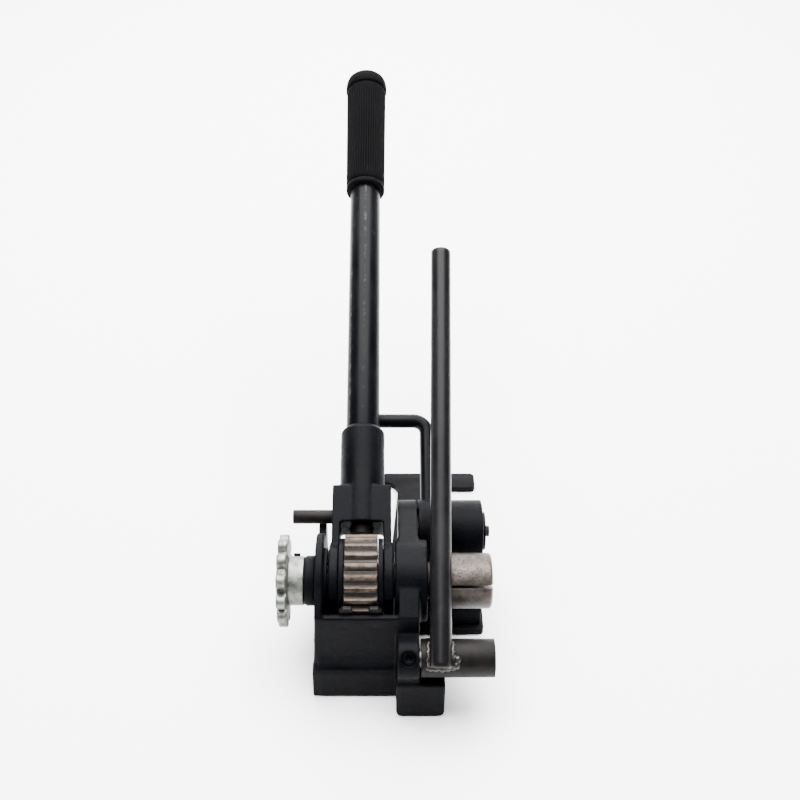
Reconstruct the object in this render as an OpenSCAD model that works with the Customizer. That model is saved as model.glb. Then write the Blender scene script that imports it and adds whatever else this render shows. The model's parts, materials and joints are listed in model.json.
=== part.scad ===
// Windlass tensioner for steel strap.
// Origin: underside of the base, below the windlass axis, in the middle plane of the handle.
// +X points along the windlass to its slotted end, +Y to the rear, +Z up. Millimetres.

/* [Overall] */
// Height of the windlass axis above the underside of the base
shaft_z = 75; // [68:1:92]
// Clear width between the two cheeks of the base
bay_w = 56; // [50:1:70]
// Distance from the windlass axis to the end of the grip
handle_len = 509; // [430:5:640]
// Angle of the handle above the horizontal when its rod lies on the stop
handle_rest = 25.3; // [24:0.1:31]
// Overall length of the base, from the front lip to the rear edge of the T
base_len = 255; // [220:1:310]

/* [Windlass] */
// Radius of the slotted barrel
barrel_r = 21; // [18:0.5:26]
// Length of the barrel
barrel_len = 46; // [38:0.5:56]
// Width of the strap slot
slot_w = 2.7; // [2:0.1:3.5]
// Length of the strap slot, from the free end
slot_len = 44; // [34:0.5:44]
// Slope of the slot above the horizontal, seen from the free end
slot_angle = 33; // [0:1:90]
// Radius of the journal in the right bush
journal_r = 14; // [13.5:0.1:16]
// Radius of the seat of gear and fork
seat_r = 13; // [12:0.1:13.4]
// Radius of the left journal
left_r = 11; // [10.5:0.1:11.8]
// Radius of the star wheel's seat
star_seat_r = 10; // [8:0.1:10.4]

/* [Ratchet] */
// Tip radius of the ratchet gear
gear_r = 35.5; // [32:0.5:43]
// Width of the ratchet gear
gear_w = 25; // [20:0.5:26]
// Number of teeth
gear_teeth = 24; // [20:4:32]
// Depth of a tooth
tooth_depth = 3.2; // [2:0.1:4]
// Radius of the round drive pawl
pawl_r = 9; // [7:0.1:10]
// Travel of the drive pawl when its rod is pulled back
pawl_travel = 5; // [3:0.5:6]
// Radius of the cross rod on the drive pawl
rod_r = 5.5; // [4:0.1:6]
// Distance of the cross rod from the windlass axis
rod_h = 52; // [50:0.5:56]
// Length of the cross rod that stands out of the fork
rod_out = 31; // [20:1:40]

/* [Star wheel] */
// Outer radius of the star wheel
star_r = 35; // [28:0.5:42]
// Thickness of the star wheel
star_t = 7.5; // [5:0.5:10]
// Number of lobes
star_lobes = 12; // [8:1:14]
// Radius of the star wheel's hub
star_hub_r = 18.7; // [15:0.1:20]
// Length of the star wheel's hub
star_hub_len = 11.7; // [10:0.1:16]

/* [Handle] */
// Thickness of each fork arm
arm_t = 6.5; // [5:0.5:8]
// Depth of the fork, front to back
fork_d = 32; // [28:1:40]
// Radius of the round arm ends
pad_r = 28; // [24:0.5:30]
// Outer radius of the collar
collar_r = 17.8; // [16:0.1:22]
// Length of the collar above the fork's shoulders
collar_len = 51; // [40:1:80]
// Outer radius of the handle tube
tube_r = 13.5; // [11:0.5:14]
// Wall of the handle tube
tube_wall = 3; // [2:0.5:3]
// Length of the grip
grip_len = 138; // [120:1:180]
// Radius of the grip at its lower end
grip_r = 17.5; // [16:0.1:20]

/* [Gripper] */
// Radius of the gripper's drum-shaped hub
hub_r = 25; // [22:0.5:29]
// Length of the hub
hub_len = 51.4; // [44:0.1:56]
// Radius of the bent rod
bent_r = 5.9; // [5:0.1:6]
// Distance from the gripper pivot to the bend of the rod
bent_len = 95.5; // [85:0.5:115]
// Radius of the gripper's pivot pin
pivot_r = 8; // [6:0.5:9]

/* [Side lever] */
// Radius of the strap roller
roller_r = 14; // [12:0.5:16]
// Length of the roller
roller_len = 54; // [48:0.5:60]
// Radius of the lever bar
bar_r = 8; // [7:0.1:9]
// Length of the lever bar
bar_len = 336; // [280:1:400]
// Sideways lean of the lever bar
bar_lean = 1; // [0:0.1:1.5]
// Distance of the bar's axis from the frame's right cheek
bar_off = 14.5; // [12:0.5:18]

/* [Base casting] */
// Thickness of the front wall
wall_t = 5; // [4:0.5:7]
// Height of the front wall's top above the windlass axis
wall_rise = 7; // [4:0.5:9]
// Height of the front lip
lip_h = 29.5; // [24:0.5:34]
// Thickness of the left cheek at its top
left_t = 6; // [5:0.5:8]
// Thickness of the right cheek
right_t = 15.5; // [12:0.5:18]
// Outer radius of the right shaft boss
boss_r = 31; // [27:0.5:32]
// Top radius of the left cheek
left_top_r = 36; // [32:0.5:40]
// Thickness of the base floor
floor_t = 8; // [6:0.5:10]
// Thickness of the rear plate
plate_t = 6; // [5:0.5:8]
// Width of the foot block
foot_w = 36.5; // [32:0.5:44]
// Width of the T at the rear
tee_w = 85; // [70:1:100]
// Depth of the T's cross bar
tee_d = 20; // [16:0.5:26]

/* [Fits] */
// Radial running clearance of shafts and pins
run = 0.05; // [0.02:0.01:0.09]
// Clearance of fixed pieces in their seats
seat = 0.02; // [0.01:0.01:0.05]
// Gap between bodies that pass or rest by each other
gap = 0.35; // [0.3:0.05:0.6]

/* [Hidden] */
$fn = 64;
eps = 1;                                     // overshoot of cutting tools
bury = 0.5;                                  // how deep a flat side starts inside a round one

// Widths across the mechanism
bay = bay_w / 2;
pad_x = bay - 3.5;                           // outer faces of the fork's arm ends
arm_x = pad_x - 1.5;                         // outer faces of the fork
window_x = arm_x - arm_t;                    // inner faces of the arms
boss_x0 = bay - 2.6;                         // inner face of the right boss
boss_x1 = boss_x0 + 24.4;                    // outer face of the right boss
right_x = bay + right_t;                     // outer face of the right cheek
left_pad_x = -(bay + left_t + 1.4);          // pad under the left bush's flange
left_flange_t = 7.6;
barrel_x0 = boss_x1 + 2.8;
barrel_x1 = barrel_x0 + barrel_len;
star_x1 = left_pad_x - left_flange_t - gap;  // inner end of the star wheel's hub
star_x0 = star_x1 - star_hub_len - star_t;   // outer face of the star wheel

// Front to back
guard_t = 3;
guard_gap = 1.5;
wall_back = -(gear_r + guard_gap + guard_t);
wall_front = wall_back - wall_t;
lip_front = wall_front - 5.3;
wall_top = shaft_z + wall_rise;
base_rear = gear_r + 14.5;
foot_front = lip_front - 18.5;
foot_x0 = bay - 1.8;
foot_x1 = foot_x0 + foot_w;
guard_half = window_x - 0.7;
guard_screw_x = 11;
guard_screw_z = shaft_z - 2;
draft_x = bay + left_t + 3.2;                // outer face of the left cheek at its foot

// Handle frame: h along the handle, t towards its front face
window_h = gear_r + 6.7;
shoulder_h = rod_h + 21;
pad_cut = 21.7;                              // flat end of the arms, below the windlass axis
socket_h = shoulder_h + 7;
collar_top = shoulder_h + collar_len;
grip_h = handle_len - grip_len;
plunger_h = gear_r + gap;                    // tip of the drive pawl, riding on the tooth tips
seat_h = socket_h + 14;
pin_h = collar_top - 18;                     // roll pin through collar and tube
pin_r = 3;
bush_r = seat_r + 3;
washer_r = gear_r - 3.5;
stop_angle = handle_rest - asin((rod_r + gap) / rod_h);

// Gripper pivot
pivot_z = shaft_z - 3;
pivot_y = sqrt(pow(boss_r + hub_r + 1.6, 2) - pow(shaft_z - pivot_z, 2));
hub_x0 = right_x + 0.6;
hub_x1 = hub_x0 + hub_len;
bent_x = hub_x0 + 8.6;
bent_reach = tube_r + bent_r + gap;          // from the handle's axis to the bent rod's axis
bent_angle = handle_rest + asin((-bent_reach + sin(handle_rest) * pivot_y
    - cos(handle_rest) * (pivot_z - shaft_z)) / bent_len);
bend_r = 11;
jaw_front = barrel_r - 4;
jaw_gap = 0.5;
plate_front = jaw_front - 5.5;
plate_x0 = bay + 0.2;
plate_x1 = hub_x1 + 2.4;
plate_back = lip_front + base_len;
plate_screw_x = bay + right_t / 2;
plate_screw_y = [plate_front + 18, plate_front + 48];
insert_x0 = hub_x0 + 4;
insert_x1 = hub_x1 - 4;
insert_screws = [insert_x0 + 8, insert_x1 - 8];

// Side lever
stud_r = 7;
roller_y = foot_front + 14;
roller_z = shaft_z - 24;
foot_top = roller_z - roller_r - 1;
roller_x0 = right_x + 0.9;
roller_x1 = roller_x0 + roller_len;
weld_bite = 2;                               // how deep the bar sits in the roller
bar_lift = roller_r + bar_r - weld_bite;     // from roller axis to bar axis
shaft_lift = barrel_r + bar_r + gap;         // from windlass axis to bar axis
axes_d = norm([roller_y, shaft_z - roller_z]);
bar_angle = atan2(shaft_z - roller_z, -roller_y) + asin((shaft_lift - bar_lift) / axes_d);
bar_x = right_x + bar_off;
bar_tail = 10;                               // the bar's end past the roller
lug_r = roller_r + 2.2;
lug_screw_r = 5.4;
lug_hole_angle = 44;                         // tilt of the lug's hole towards the front

// Holding pawl
pawl_pin_r = 4;
pawl_y = -gear_r + 5.5;
pawl_z = shaft_z - 41;
pawl_w = 24;
pawl_tip = 20;                               // angle of the pawl's tip below the horizontal

iron = [0.10, 0.105, 0.115];
black = [0.07, 0.07, 0.075];
worn = [0.46, 0.40, 0.36];
steel = [0.55, 0.53, 0.50];
zinc = [0.72, 0.74, 0.72];
rubber = [0.09, 0.09, 0.09];
bronze = [0.55, 0.43, 0.25];

function polar(y, z, r, a) = [y + r * cos(a), z + r * sin(a)];
function arc(y, z, r, a0, a1, n) = [for (i = [0:n]) polar(y, z, r, a0 + (a1 - a0) * i / n)];
// Touching point of the tangent from point p to the circle round (y, z)
function touch(y, z, r, p, side) =
    let (d = norm([p[0] - y, p[1] - z]), a = atan2(p[1] - z, p[0] - y))
    polar(y, z, r, a + side * acos(r / d));

// Round bar along X
module x_bar(r, x0, x1, y = 0, z = 0)
    translate([x0, y, z])
        rotate([0, 90, 0])
            cylinder(r = r, h = x1 - x0);

module x_ring(ro, ri, x0, x1, y = 0, z = 0)
    difference() {
        x_bar(ro, x0, x1, y, z);
        x_bar(ri, x0 - eps, x1 + eps, y, z);
    }

// Outline in Y and Z, drawn out along X
module x_plate(outline, x0, x1)
    translate([x0, 0, 0])
        rotate([90, 0, 90])
            linear_extrude(x1 - x0)
                polygon(outline);

// Outline in X and Z, drawn out along Y
module y_plate(outline, y0, y1)
    translate([0, y1, 0])
        rotate([90, 0, 0])
            linear_extrude(y1 - y0)
                polygon(outline);

module at_shaft()
    translate([0, 0, shaft_z])
        children();

// Handle frame: +Z along the handle, -Y to its front face
module in_handle()
    at_shaft()
        rotate([handle_rest - 90, 0, 0])
            children();

// Hexagon-socket screw head or set screw: a disc with a hexagonal recess
module socket_disc(r, h, key)
    difference() {
        cylinder(r = r, h = h);
        translate([0, 0, h - key * 0.6])
            cylinder(r = key / 2 / cos(30), h = key, $fn = 6);
    }

// Coil of round wire along +Z
module coil(r, wire, length, turns) {
    sides = 8;
    steps = 16;
    rings = turns * steps;
    points = [for (i = [0:rings]) let (a = i * 360 / steps, z = length * i / rings)
        for (j = [0:sides - 1]) let (b = j * 360 / sides)
            [(r + wire * cos(b)) * cos(a), (r + wire * cos(b)) * sin(a), z + wire * sin(b)]];
    walls = [for (i = [0:rings - 1]) for (j = [0:sides - 1]) let (k = (j + 1) % sides)
        [i * sides + j, (i + 1) * sides + j, (i + 1) * sides + k, i * sides + k]];
    ends = [[for (j = [0:sides - 1]) j], [for (j = [sides - 1:-1:0]) rings * sides + j]];
    polyhedron(points, concat(walls, ends), convexity = 10);
}

// ---- Frame ----

module left_cheek() {
    corner = [wall_front, wall_top];
    horn_r = rod_h + rod_r + 2;
    outline = [[wall_front, 0], corner, touch(0, shaft_z, left_top_r - bury, corner, -1), [0, shaft_z],
        polar(0, shaft_z, left_top_r - 2, stop_angle), polar(0, shaft_z, horn_r, stop_angle),
        polar(0, shaft_z, horn_r, stop_angle - 12), [base_rear, floor_t], [base_rear, 0]];
    intersection() {
        union() {
            x_plate(outline, -draft_x - eps, -bay);
            x_bar(left_top_r, -draft_x - eps, -bay, 0, shaft_z);
        }
        y_plate([[-bay, 0], [-draft_x, 0], [-(bay + left_t), shaft_z],
            [-(bay + left_t), shaft_z * 2], [-bay, shaft_z * 2]], wall_front, base_rear * 2);
    }
    x_bar(20, left_pad_x, -bay, 0, shaft_z);
}

module right_cheek() {
    tilt = atan2(pivot_z - shaft_z, pivot_y);
    turn = tilt + acos((boss_r - hub_r) / norm([pivot_y, pivot_z - shaft_z]));
    outline = [[wall_front, 0], [wall_front, wall_top], polar(0, shaft_z, boss_r - bury, 140),
        [0, shaft_z], polar(0, shaft_z, boss_r - bury, turn), polar(pivot_y, pivot_z, hub_r - bury, turn),
        [pivot_y, pivot_z], polar(pivot_y, pivot_z, hub_r - bury, -20), [pivot_y + 12, plate_t],
        [plate_front, plate_t],
        [plate_front, 0]];
    x_plate(outline, bay, right_x);
    x_bar(boss_r, boss_x0, boss_x1, 0, shaft_z);
    x_bar(hub_r, bay, right_x, pivot_y, pivot_z);
}

module front_wall() {
    round_r = 1.5;
    lip_in = 4;
    x_plate(concat([[wall_back, 0], [lip_front, 0], [lip_front, lip_h - 2], [lip_front + 1, lip_h],
        [wall_front - 1.6, lip_h + 6], [wall_front, lip_h + 12]],
        arc(wall_front + round_r, wall_top - round_r, round_r, 180, 90, 4), [[wall_back, wall_top]]),
        -bay - lip_in, bay + lip_in);
    y_plate([[-draft_x, 0], [-draft_x + 0.4, lip_h - 1], [-draft_x + 2, lip_h + 1.5],
        [foot_x0 + eps, lip_h + 1.5], [foot_x0 + eps, 0]], lip_front + 0.6, wall_back);
}

// Radial hole of the lug, +Z outwards
module at_lug_hole()
    translate([foot_x0 + 9, roller_y, roller_z])
        rotate([lug_hole_angle, 0, 0])
            translate([0, 0, stud_r - 1])
                children();

module foot() {
    r = 5;
    back = wall_front + 6;
    y_plate(concat(arc(foot_x0 + r, r, r, 180, 270, 6), arc(foot_x1 - r, r, r, 270, 360, 6),
        [[foot_x1, foot_top], [foot_x0, foot_top]]), foot_front, back);
    x_bar(lug_r, foot_x0 + 0.8, right_x - 0.2, roller_y, roller_z);
    x_plate([[roller_y - lug_r + 2, foot_top - 2], [roller_y, roller_z + lug_r - bury],
        [wall_back, roller_z + lug_r - bury], [wall_back, foot_top - 2]], foot_x0 + 0.8, right_x - 0.2);
}

module base_casting() {
    color(iron)
    difference() {
        union() {
            translate([-draft_x, lip_front + 1, 0])
                cube([draft_x + bay, base_rear - lip_front - 1, floor_t]);
            left_cheek();
            right_cheek();
            front_wall();
            foot();
        }
        x_bar(15 + seat, -draft_x * 2, 0, 0, shaft_z);
        x_bar(journal_r + 4 + seat, 0, draft_x * 2, 0, shaft_z);
        x_bar(pivot_r + seat, bay + 1.5, right_x + eps, pivot_y, pivot_z);
        x_bar(pawl_pin_r + seat, -draft_x * 2, right_x - 4, pawl_y, pawl_z);
        x_bar(stud_r + seat, foot_x0 + 2.8, right_x + eps, roller_y, roller_z);
        at_lug_hole()
            cylinder(r = lug_screw_r, h = lug_r * 2);
        for (y = plate_screw_y)
            translate([plate_screw_x, y, 0])
                cylinder(r = 2.5 + seat, h = 22);
        for (x = [-1, 1])
            translate([x * guard_screw_x, wall_front - eps, guard_screw_z])
                rotate([-90, 0, 0])
                    cylinder(r = 2 + seat, h = wall_t * 3);
    }
}

// Rear plate: anvil under the jaw, stem and T
module rear_plate() {
    tee_x0 = plate_x0 - 11.2;
    tee_x1 = tee_x0 + tee_w;
    stem_x0 = plate_x0 - 5.2;
    stem_x1 = plate_x0 + 38;
    tee_y = plate_back - tee_d;
    anvil_back = pivot_y + hub_r + 2;
    r = 4;
    color(black)
    difference() {
        linear_extrude(plate_t)
            polygon(concat(
                [[plate_x0, plate_front]],
                arc(plate_x1 - r, plate_front + r, r, -90, 0, 5),
                arc(plate_x1 - r, anvil_back - r, r, 0, 90, 5),
                arc(stem_x1 + r, anvil_back + r, r, 270, 180, 5),
                arc(stem_x1 + r, tee_y - r, r, 180, 90, 5),
                arc(tee_x1 - r, tee_y + r, r, -90, 0, 5),
                arc(tee_x1 - r, plate_back - r, r, 0, 90, 5),
                arc(tee_x0 + 2, plate_back - 2, 2, 90, 180, 3),
                [[tee_x0, tee_y + 8]],
                arc(tee_x0, tee_y - 5, 13, 75, 0, 6),
                [[stem_x0, anvil_back + 10], [stem_x0, base_rear + 1], [plate_x0, base_rear + 1]]));
        for (y = plate_screw_y)
            translate([plate_screw_x, y, 0]) {
                translate([0, 0, -eps])
                    cylinder(r = 2.5 + seat, h = plate_t * 2);
                translate([0, 0, -seat])
                    cylinder(r1 = 5, r2 = 2.5, h = 2.8);
            }
    }
}

module rear_plate_screws() {
    color(steel)
    for (y = plate_screw_y)
        translate([plate_screw_x, y, 0]) {
            difference() {
                translate([0, 0, 0.2])
                    cylinder(r1 = 4.8, r2 = 2.5, h = 2.5);
                translate([0, 0, -eps])
                    cylinder(r = 1.8, h = 2.6, $fn = 6);
            }
            translate([0, 0, 2])
                cylinder(r = 2.5, h = 18);
        }
}

module left_bush() {
    color(black)
    at_shaft()
        difference() {
            union() {
                x_bar(18, left_pad_x - left_flange_t, left_pad_x - left_flange_t + 1);
                x_bar(19, left_pad_x - left_flange_t + 1, left_pad_x);
                x_bar(15, left_pad_x, -bay);
            }
            x_bar(left_r + run, -100, 0);
        }
}

module right_bush() {
    color(bronze)
    at_shaft()
        x_ring(journal_r + 4, journal_r + run, boss_x0 + 0.2, boss_x1 - 0.2);
}

module cheek_washer() {
    color(steel)
    at_shaft()
        x_ring(25, seat_r + 0.3, -bay, -pad_x - 1.1);
}

module gear_guard() {
    notch = 6;
    z0 = shaft_z - 8;
    z1 = wall_top + 5;
    color(worn)
    difference() {
        y_plate([[-guard_half, z0], [guard_half, z0], [guard_half, z1 - 3], [guard_half - 3, z1],
            [notch + 1, z1], [notch, z1 - 1], [notch, z1 - 10], [-notch, z1 - 10], [-notch, z1 - 1],
            [-notch - 1, z1], [3 - guard_half, z1], [-guard_half, z1 - 3]], wall_back, wall_back + guard_t);
        for (x = [-1, 1])
            translate([x * guard_screw_x, wall_back - eps, guard_screw_z])
                rotate([-90, 0, 0])
                    cylinder(r = 2 + seat, h = guard_t * 2);
    }
}

module guard_screws() {
    color(black)
    for (x = [-1, 1])
        translate([x * guard_screw_x, wall_front + 0.4, guard_screw_z])
            rotate([-90, 0, 0])
                cylinder(r = 2, h = wall_t + guard_t - 0.6);
}

module pawl_pin() {
    color(steel)
    x_bar(pawl_pin_r, -(bay + left_t) + 1, right_x - 4.5, pawl_y, pawl_z);
}

module lever_stud() {
    color(steel)
    difference() {
        x_bar(stud_r, foot_x0 + 3, roller_x1 - 5, roller_y, roller_z);
        x_bar(3 + seat, roller_x1 - 18, roller_x1, roller_y, roller_z);
    }
}

module stud_set_screw() {
    color(black)
    at_lug_hole()
        translate([0, 0, 1 + run])
            socket_disc(lug_screw_r - seat, 4.5, 5);
}

module gripper_pin() {
    color(steel)
    difference() {
        x_bar(pivot_r, bay + 2, hub_x1 + 0.4, pivot_y, pivot_z);
        x_bar(2.5 + seat, hub_x1 - 14, hub_x1 + 5, pivot_y, pivot_z);
    }
}

module gripper_washer() {
    color(black)
    x_ring(15.3, 2.5 + seat, hub_x1 + 0.4, hub_x1 + 2.6, pivot_y, pivot_z);
}

module gripper_pin_screw() {
    color(black)
    translate([hub_x1 + 2.6, pivot_y, pivot_z])
        rotate([0, 90, 0]) {
            cylinder(r = 4.6, h = 3.7, $fn = 6);
            translate([0, 0, -15])
                cylinder(r = 2.5, h = 15.5);
        }
}

// ---- Windlass ----

module windlass_shaft() {
    chamfer = 1.6;
    color(steel)
    at_shaft()
        difference() {
            union() {
                x_bar(barrel_r, barrel_x0, barrel_x1 - chamfer);
                translate([barrel_x1 - chamfer, 0, 0])
                    rotate([0, 90, 0])
                        cylinder(r1 = barrel_r, r2 = barrel_r - chamfer, h = chamfer);
                x_bar(journal_r, boss_x0 - 0.2, barrel_x0 + 0.1);
                x_bar(seat_r, -pad_x - 0.5, boss_x0 - 0.1);
                x_bar(left_r, star_x1 + 0.2, -pad_x - 0.4);
                x_bar(star_seat_r, star_x0 - 2, star_x1 + 0.3);
            }
            rotate([-slot_angle, 0, 0])
                translate([barrel_x1 - slot_len, -barrel_r * 2, -slot_w / 2])
                    cube([slot_len * 2, barrel_r * 4, slot_w]);
            translate([-gear_w / 2, -3, seat_r - 3])
                cube([gear_w, 6, 6]);
            x_ring(star_seat_r + 2, star_seat_r - 1, star_x0 - 1.5, star_x0 - 0.3);
        }
}

module ratchet_gear() {
    root_r = gear_r - tooth_depth;
    pitch = 360 / gear_teeth;
    color(worn)
    at_shaft()
        difference() {
            rotate([handle_rest, 0, 0])
                translate([-gear_w / 2, 0, 0])
                    rotate([90, 0, 90])
                        linear_extrude(gear_w)
                            polygon([for (i = [0:gear_teeth - 1], s = [[-0.36, 0], [-0.16, 1], [0.16, 1], [0.36, 0]])
                                let (r = root_r + s[1] * tooth_depth, a = (i + s[0]) * pitch)
                                [r * cos(a), r * sin(a)]]);
            x_bar(seat_r + seat, -gear_w, gear_w);
            translate([-gear_w, -3 - seat, 0])
                cube([gear_w * 2, 6 + 2 * seat, seat_r + 2.6 + seat]);
        }
}

module gear_key() {
    color(steel)
    translate([-gear_w / 2 + 0.5, -3, shaft_z + seat_r - 3])
        cube([gear_w - 1, 6, 5.6]);
}

module star_wheel() {
    lobe_r = star_r * sin(180 / star_lobes) * 0.62;
    color(zinc)
    at_shaft()
        difference() {
            union() {
                x_bar(star_r - lobe_r * 1.25, star_x0, star_x0 + star_t);
                for (i = [0:star_lobes - 1])
                    rotate([(i + 0.5) * 360 / star_lobes, 0, 0])
                        x_bar(lobe_r, star_x0, star_x0 + star_t, star_r - lobe_r, 0);
                x_bar(star_hub_r, star_x0 + star_t - 0.1, star_x1);
            }
            x_bar(star_seat_r + seat, star_x0 - eps, star_x1 + eps);
            rotate([-46, 0, 0])
                translate([(star_x0 + star_t + star_x1) / 2, 0, 0])
                    cylinder(r = 2.6 + seat, h = star_r);
        }
}

module star_set_screw() {
    color(black)
    at_shaft()
        rotate([-46, 0, 0])
            translate([(star_x0 + star_t + star_x1) / 2, 0, star_seat_r + 0.05])
                socket_disc(2.6, star_hub_r - star_seat_r + 2, 2.5);
}

module shaft_clip() {
    color(steel)
    at_shaft()
        difference() {
            x_ring(star_seat_r + 2.5, star_seat_r - 1 + seat, star_x0 - 1.4, star_x0 - 0.4);
            translate([star_x0 - 5, -2, -20])
                cube([10, 4, 20]);
        }
}

// ---- Handle ----

module fork_yoke() {
    fillet_h = 4;
    color(iron)
    in_handle()
        difference() {
            union() {
                translate([-arm_x, -fork_d / 2, -pad_cut])
                    cube([arm_x * 2, fork_d, pad_cut + shoulder_h]);
                x_bar(pad_r, -pad_x, pad_x);
                translate([0, 0, window_h - eps])
                    cylinder(r = collar_r, h = collar_top - window_h + eps);
                translate([0, 0, collar_top])
                    cylinder(r1 = collar_r, r2 = tube_r + 0.8, h = fillet_h);
            }
            translate([-pad_x * 2, -pad_r * 2, -pad_r * 2 - pad_cut])
                cube([pad_x * 4, pad_r * 4, pad_r * 2]);
            translate([-window_x, -pad_r * 2, -pad_r * 2])
                cube([window_x * 2, pad_r * 4, pad_r * 2 + window_h]);
            x_bar(bush_r + seat, -pad_x * 2, pad_x * 2);
            translate([0, 0, window_h - eps])
                cylinder(r = pawl_r + run, h = shoulder_h);
            translate([0, 0, socket_h])
                cylinder(r = tube_r + seat, h = collar_len * 2);
            translate([-arm_x * 2, -rod_r - 0.3, rod_h])
                cube([arm_x * 2, (rod_r + 0.3) * 2, pawl_travel]);
            for (h = [rod_h, rod_h + pawl_travel])
                x_bar(rod_r + 0.3, -arm_x * 2, 0, 0, h);
            x_bar(pin_r + seat, -collar_r * 2, collar_r * 2, 0, pin_h);
        }
}

module fork_bushes() {
    color(bronze)
    in_handle()
        for (side = [0, 1])
            mirror([side, 0, 0])
                x_ring(bush_r, seat_r + run, window_x, pad_x);
}

module fork_washers() {
    color(steel)
    in_handle()
        for (side = [0, 1])
            mirror([side, 0, 0])
                x_ring(washer_r, seat_r + 0.2, gear_w / 2 + gap, window_x);
}

module handle_tube() {
    color(black)
    in_handle()
        translate([0, 0, socket_h])
            difference() {
                cylinder(r = tube_r, h = handle_len - 8 - socket_h);
                translate([0, 0, -eps])
                    cylinder(r = tube_r - tube_wall, h = handle_len);
                x_bar(pin_r + seat, -collar_r, collar_r, 0, pin_h - socket_h);
            }
}

module hand_grip() {
    bead = grip_r + 2;
    top = handle_len;
    color(rubber)
    in_handle()
        rotate_extrude()
            polygon([[tube_r + seat, grip_h], [grip_r, grip_h], [grip_r + 1.1, top - 22], [bead, top - 19],
                [bead, top - 12], [bead - 1.5, top - 5], [bead - 5, top - 1], [bead - 8, top], [0, top],
                [0, top - 7.5], [tube_r + seat, top - 7.5]]);
}

module tube_pin() {
    color(steel)
    in_handle()
        x_ring(pin_r, 1.8, -collar_r + 0.3, collar_r - 0.3, 0, pin_h);
}

module spring_seat() {
    color(steel)
    in_handle()
        translate([0, 0, seat_h])
            cylinder(r = tube_r - tube_wall - seat, h = 4);
}

module drive_spring() {
    wire = 1;
    foot_h = rod_h + rod_r + 8;
    color(steel)
    in_handle()
        translate([0, 0, foot_h + wire + 0.2])
            coil(6, wire, seat_h - foot_h - 2 * wire - 0.4, 6);
}

module drive_pawl() {
    color(worn)
    in_handle()
        difference() {
            translate([0, 0, plunger_h])
                cylinder(r = pawl_r, h = rod_h + rod_r + 8 - plunger_h);
            x_bar(rod_r + seat, -pawl_r * 2, pawl_r * 2, 0, rod_h);
            translate([-pawl_r * 2, pawl_r * 0.3, plunger_h - eps])
                rotate([40, 0, 0])
                    cube([pawl_r * 4, pawl_r * 2, pawl_r]);
        }
}

module release_rod() {
    color([0.24, 0.19, 0.17])
    in_handle()
        x_bar(rod_r, -arm_x - rod_out, pawl_r / 2, 0, rod_h);
}

// ---- Holding pawl ----

module holding_pawl() {
    tip = polar(0, shaft_z, gear_r + gap, 180 + pawl_tip);
    back = wall_back + 2.8;
    color(worn)
    difference() {
        union() {
            x_bar(7.2, -pawl_w / 2, pawl_w / 2, pawl_y, pawl_z);
            x_plate([[pawl_y + 3, pawl_z - 5], [pawl_y + 4, pawl_z + 4], [tip[0] + 1.5, tip[1] - 8], tip,
                [back + 0.5, tip[1] + 1.5], [back, tip[1] - 3], [pawl_y - 7.2, pawl_z]],
                -pawl_w / 2, pawl_w / 2);
        }
        x_bar(pawl_pin_r + run, -pawl_w, pawl_w, pawl_y, pawl_z);
    }
}

module pawl_spring() {
    color(steel)
    translate([pawl_w / 2 + 1.2, pawl_y, pawl_z])
        rotate([0, 90, 0])
            coil(5.6, 0.75, 6, 3);
}

// ---- Gripper ----

module gripper_arm() {
    jaw_z = plate_t + jaw_gap;
    foot_y = jaw_front + 25;
    color(iron)
    difference() {
        union() {
            x_bar(hub_r, hub_x0, hub_x1, pivot_y, pivot_z);
            x_plate([[jaw_front, jaw_z], [jaw_front, jaw_z + 16], [jaw_front + 12, jaw_z + 32],
                polar(pivot_y, pivot_z, hub_r - bury, 170), [pivot_y, pivot_z],
                polar(pivot_y, pivot_z, hub_r - bury, -70), [foot_y, jaw_z]], hub_x0, hub_x1);
        }
        x_bar(pivot_r + 3 + seat, hub_x0 - eps, hub_x1 + eps, pivot_y, pivot_z);
        x_bar(18.5, hub_x0 - eps, hub_x0 + 11, pivot_y, pivot_z);
        translate([bent_x, pivot_y, pivot_z])
            rotate([bent_angle - 90, 0, 0])
                translate([0, 0, 20])
                    cylinder(r = bent_r + seat, h = hub_r);
        translate([insert_x0 - seat, jaw_front + 1.5 - seat, 0])
            cube([insert_x1 - insert_x0 + 2 * seat, 20 + 2 * seat, jaw_z + 5 + seat]);
        for (x = insert_screws)
            translate([x, jaw_front + 11.5, 0])
                cylinder(r = 2 + seat, h = jaw_z + 13);
    }
}

module jaw_insert() {
    jaw_z = plate_t + jaw_gap;
    teeth = 8;
    step = 20 / teeth;
    y0 = jaw_front + 1.5;
    color(steel)
    difference() {
        x_plate(concat([[y0, jaw_z + 5]],
            [for (i = [0:teeth - 1], s = [0, 1]) [y0 + (i + s * 0.4) * step, jaw_z + s * 0.9]],
            [[y0 + 20, jaw_z], [y0 + 20, jaw_z + 5]]), insert_x0, insert_x1);
        for (x = insert_screws)
            translate([x, jaw_front + 11.5, 0])
                cylinder(r = 2 + seat, h = jaw_z + 10);
    }
}

module jaw_screws() {
    jaw_z = plate_t + jaw_gap;
    color(black)
    for (x = insert_screws)
        translate([x, jaw_front + 11.5, jaw_z + 1.2])
            cylinder(r = 2, h = 11);
}

module gripper_bush() {
    color(bronze)
    x_ring(pivot_r + 3, pivot_r + run, hub_x0 + 0.2, hub_x1 - 0.2, pivot_y, pivot_z);
}

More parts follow.
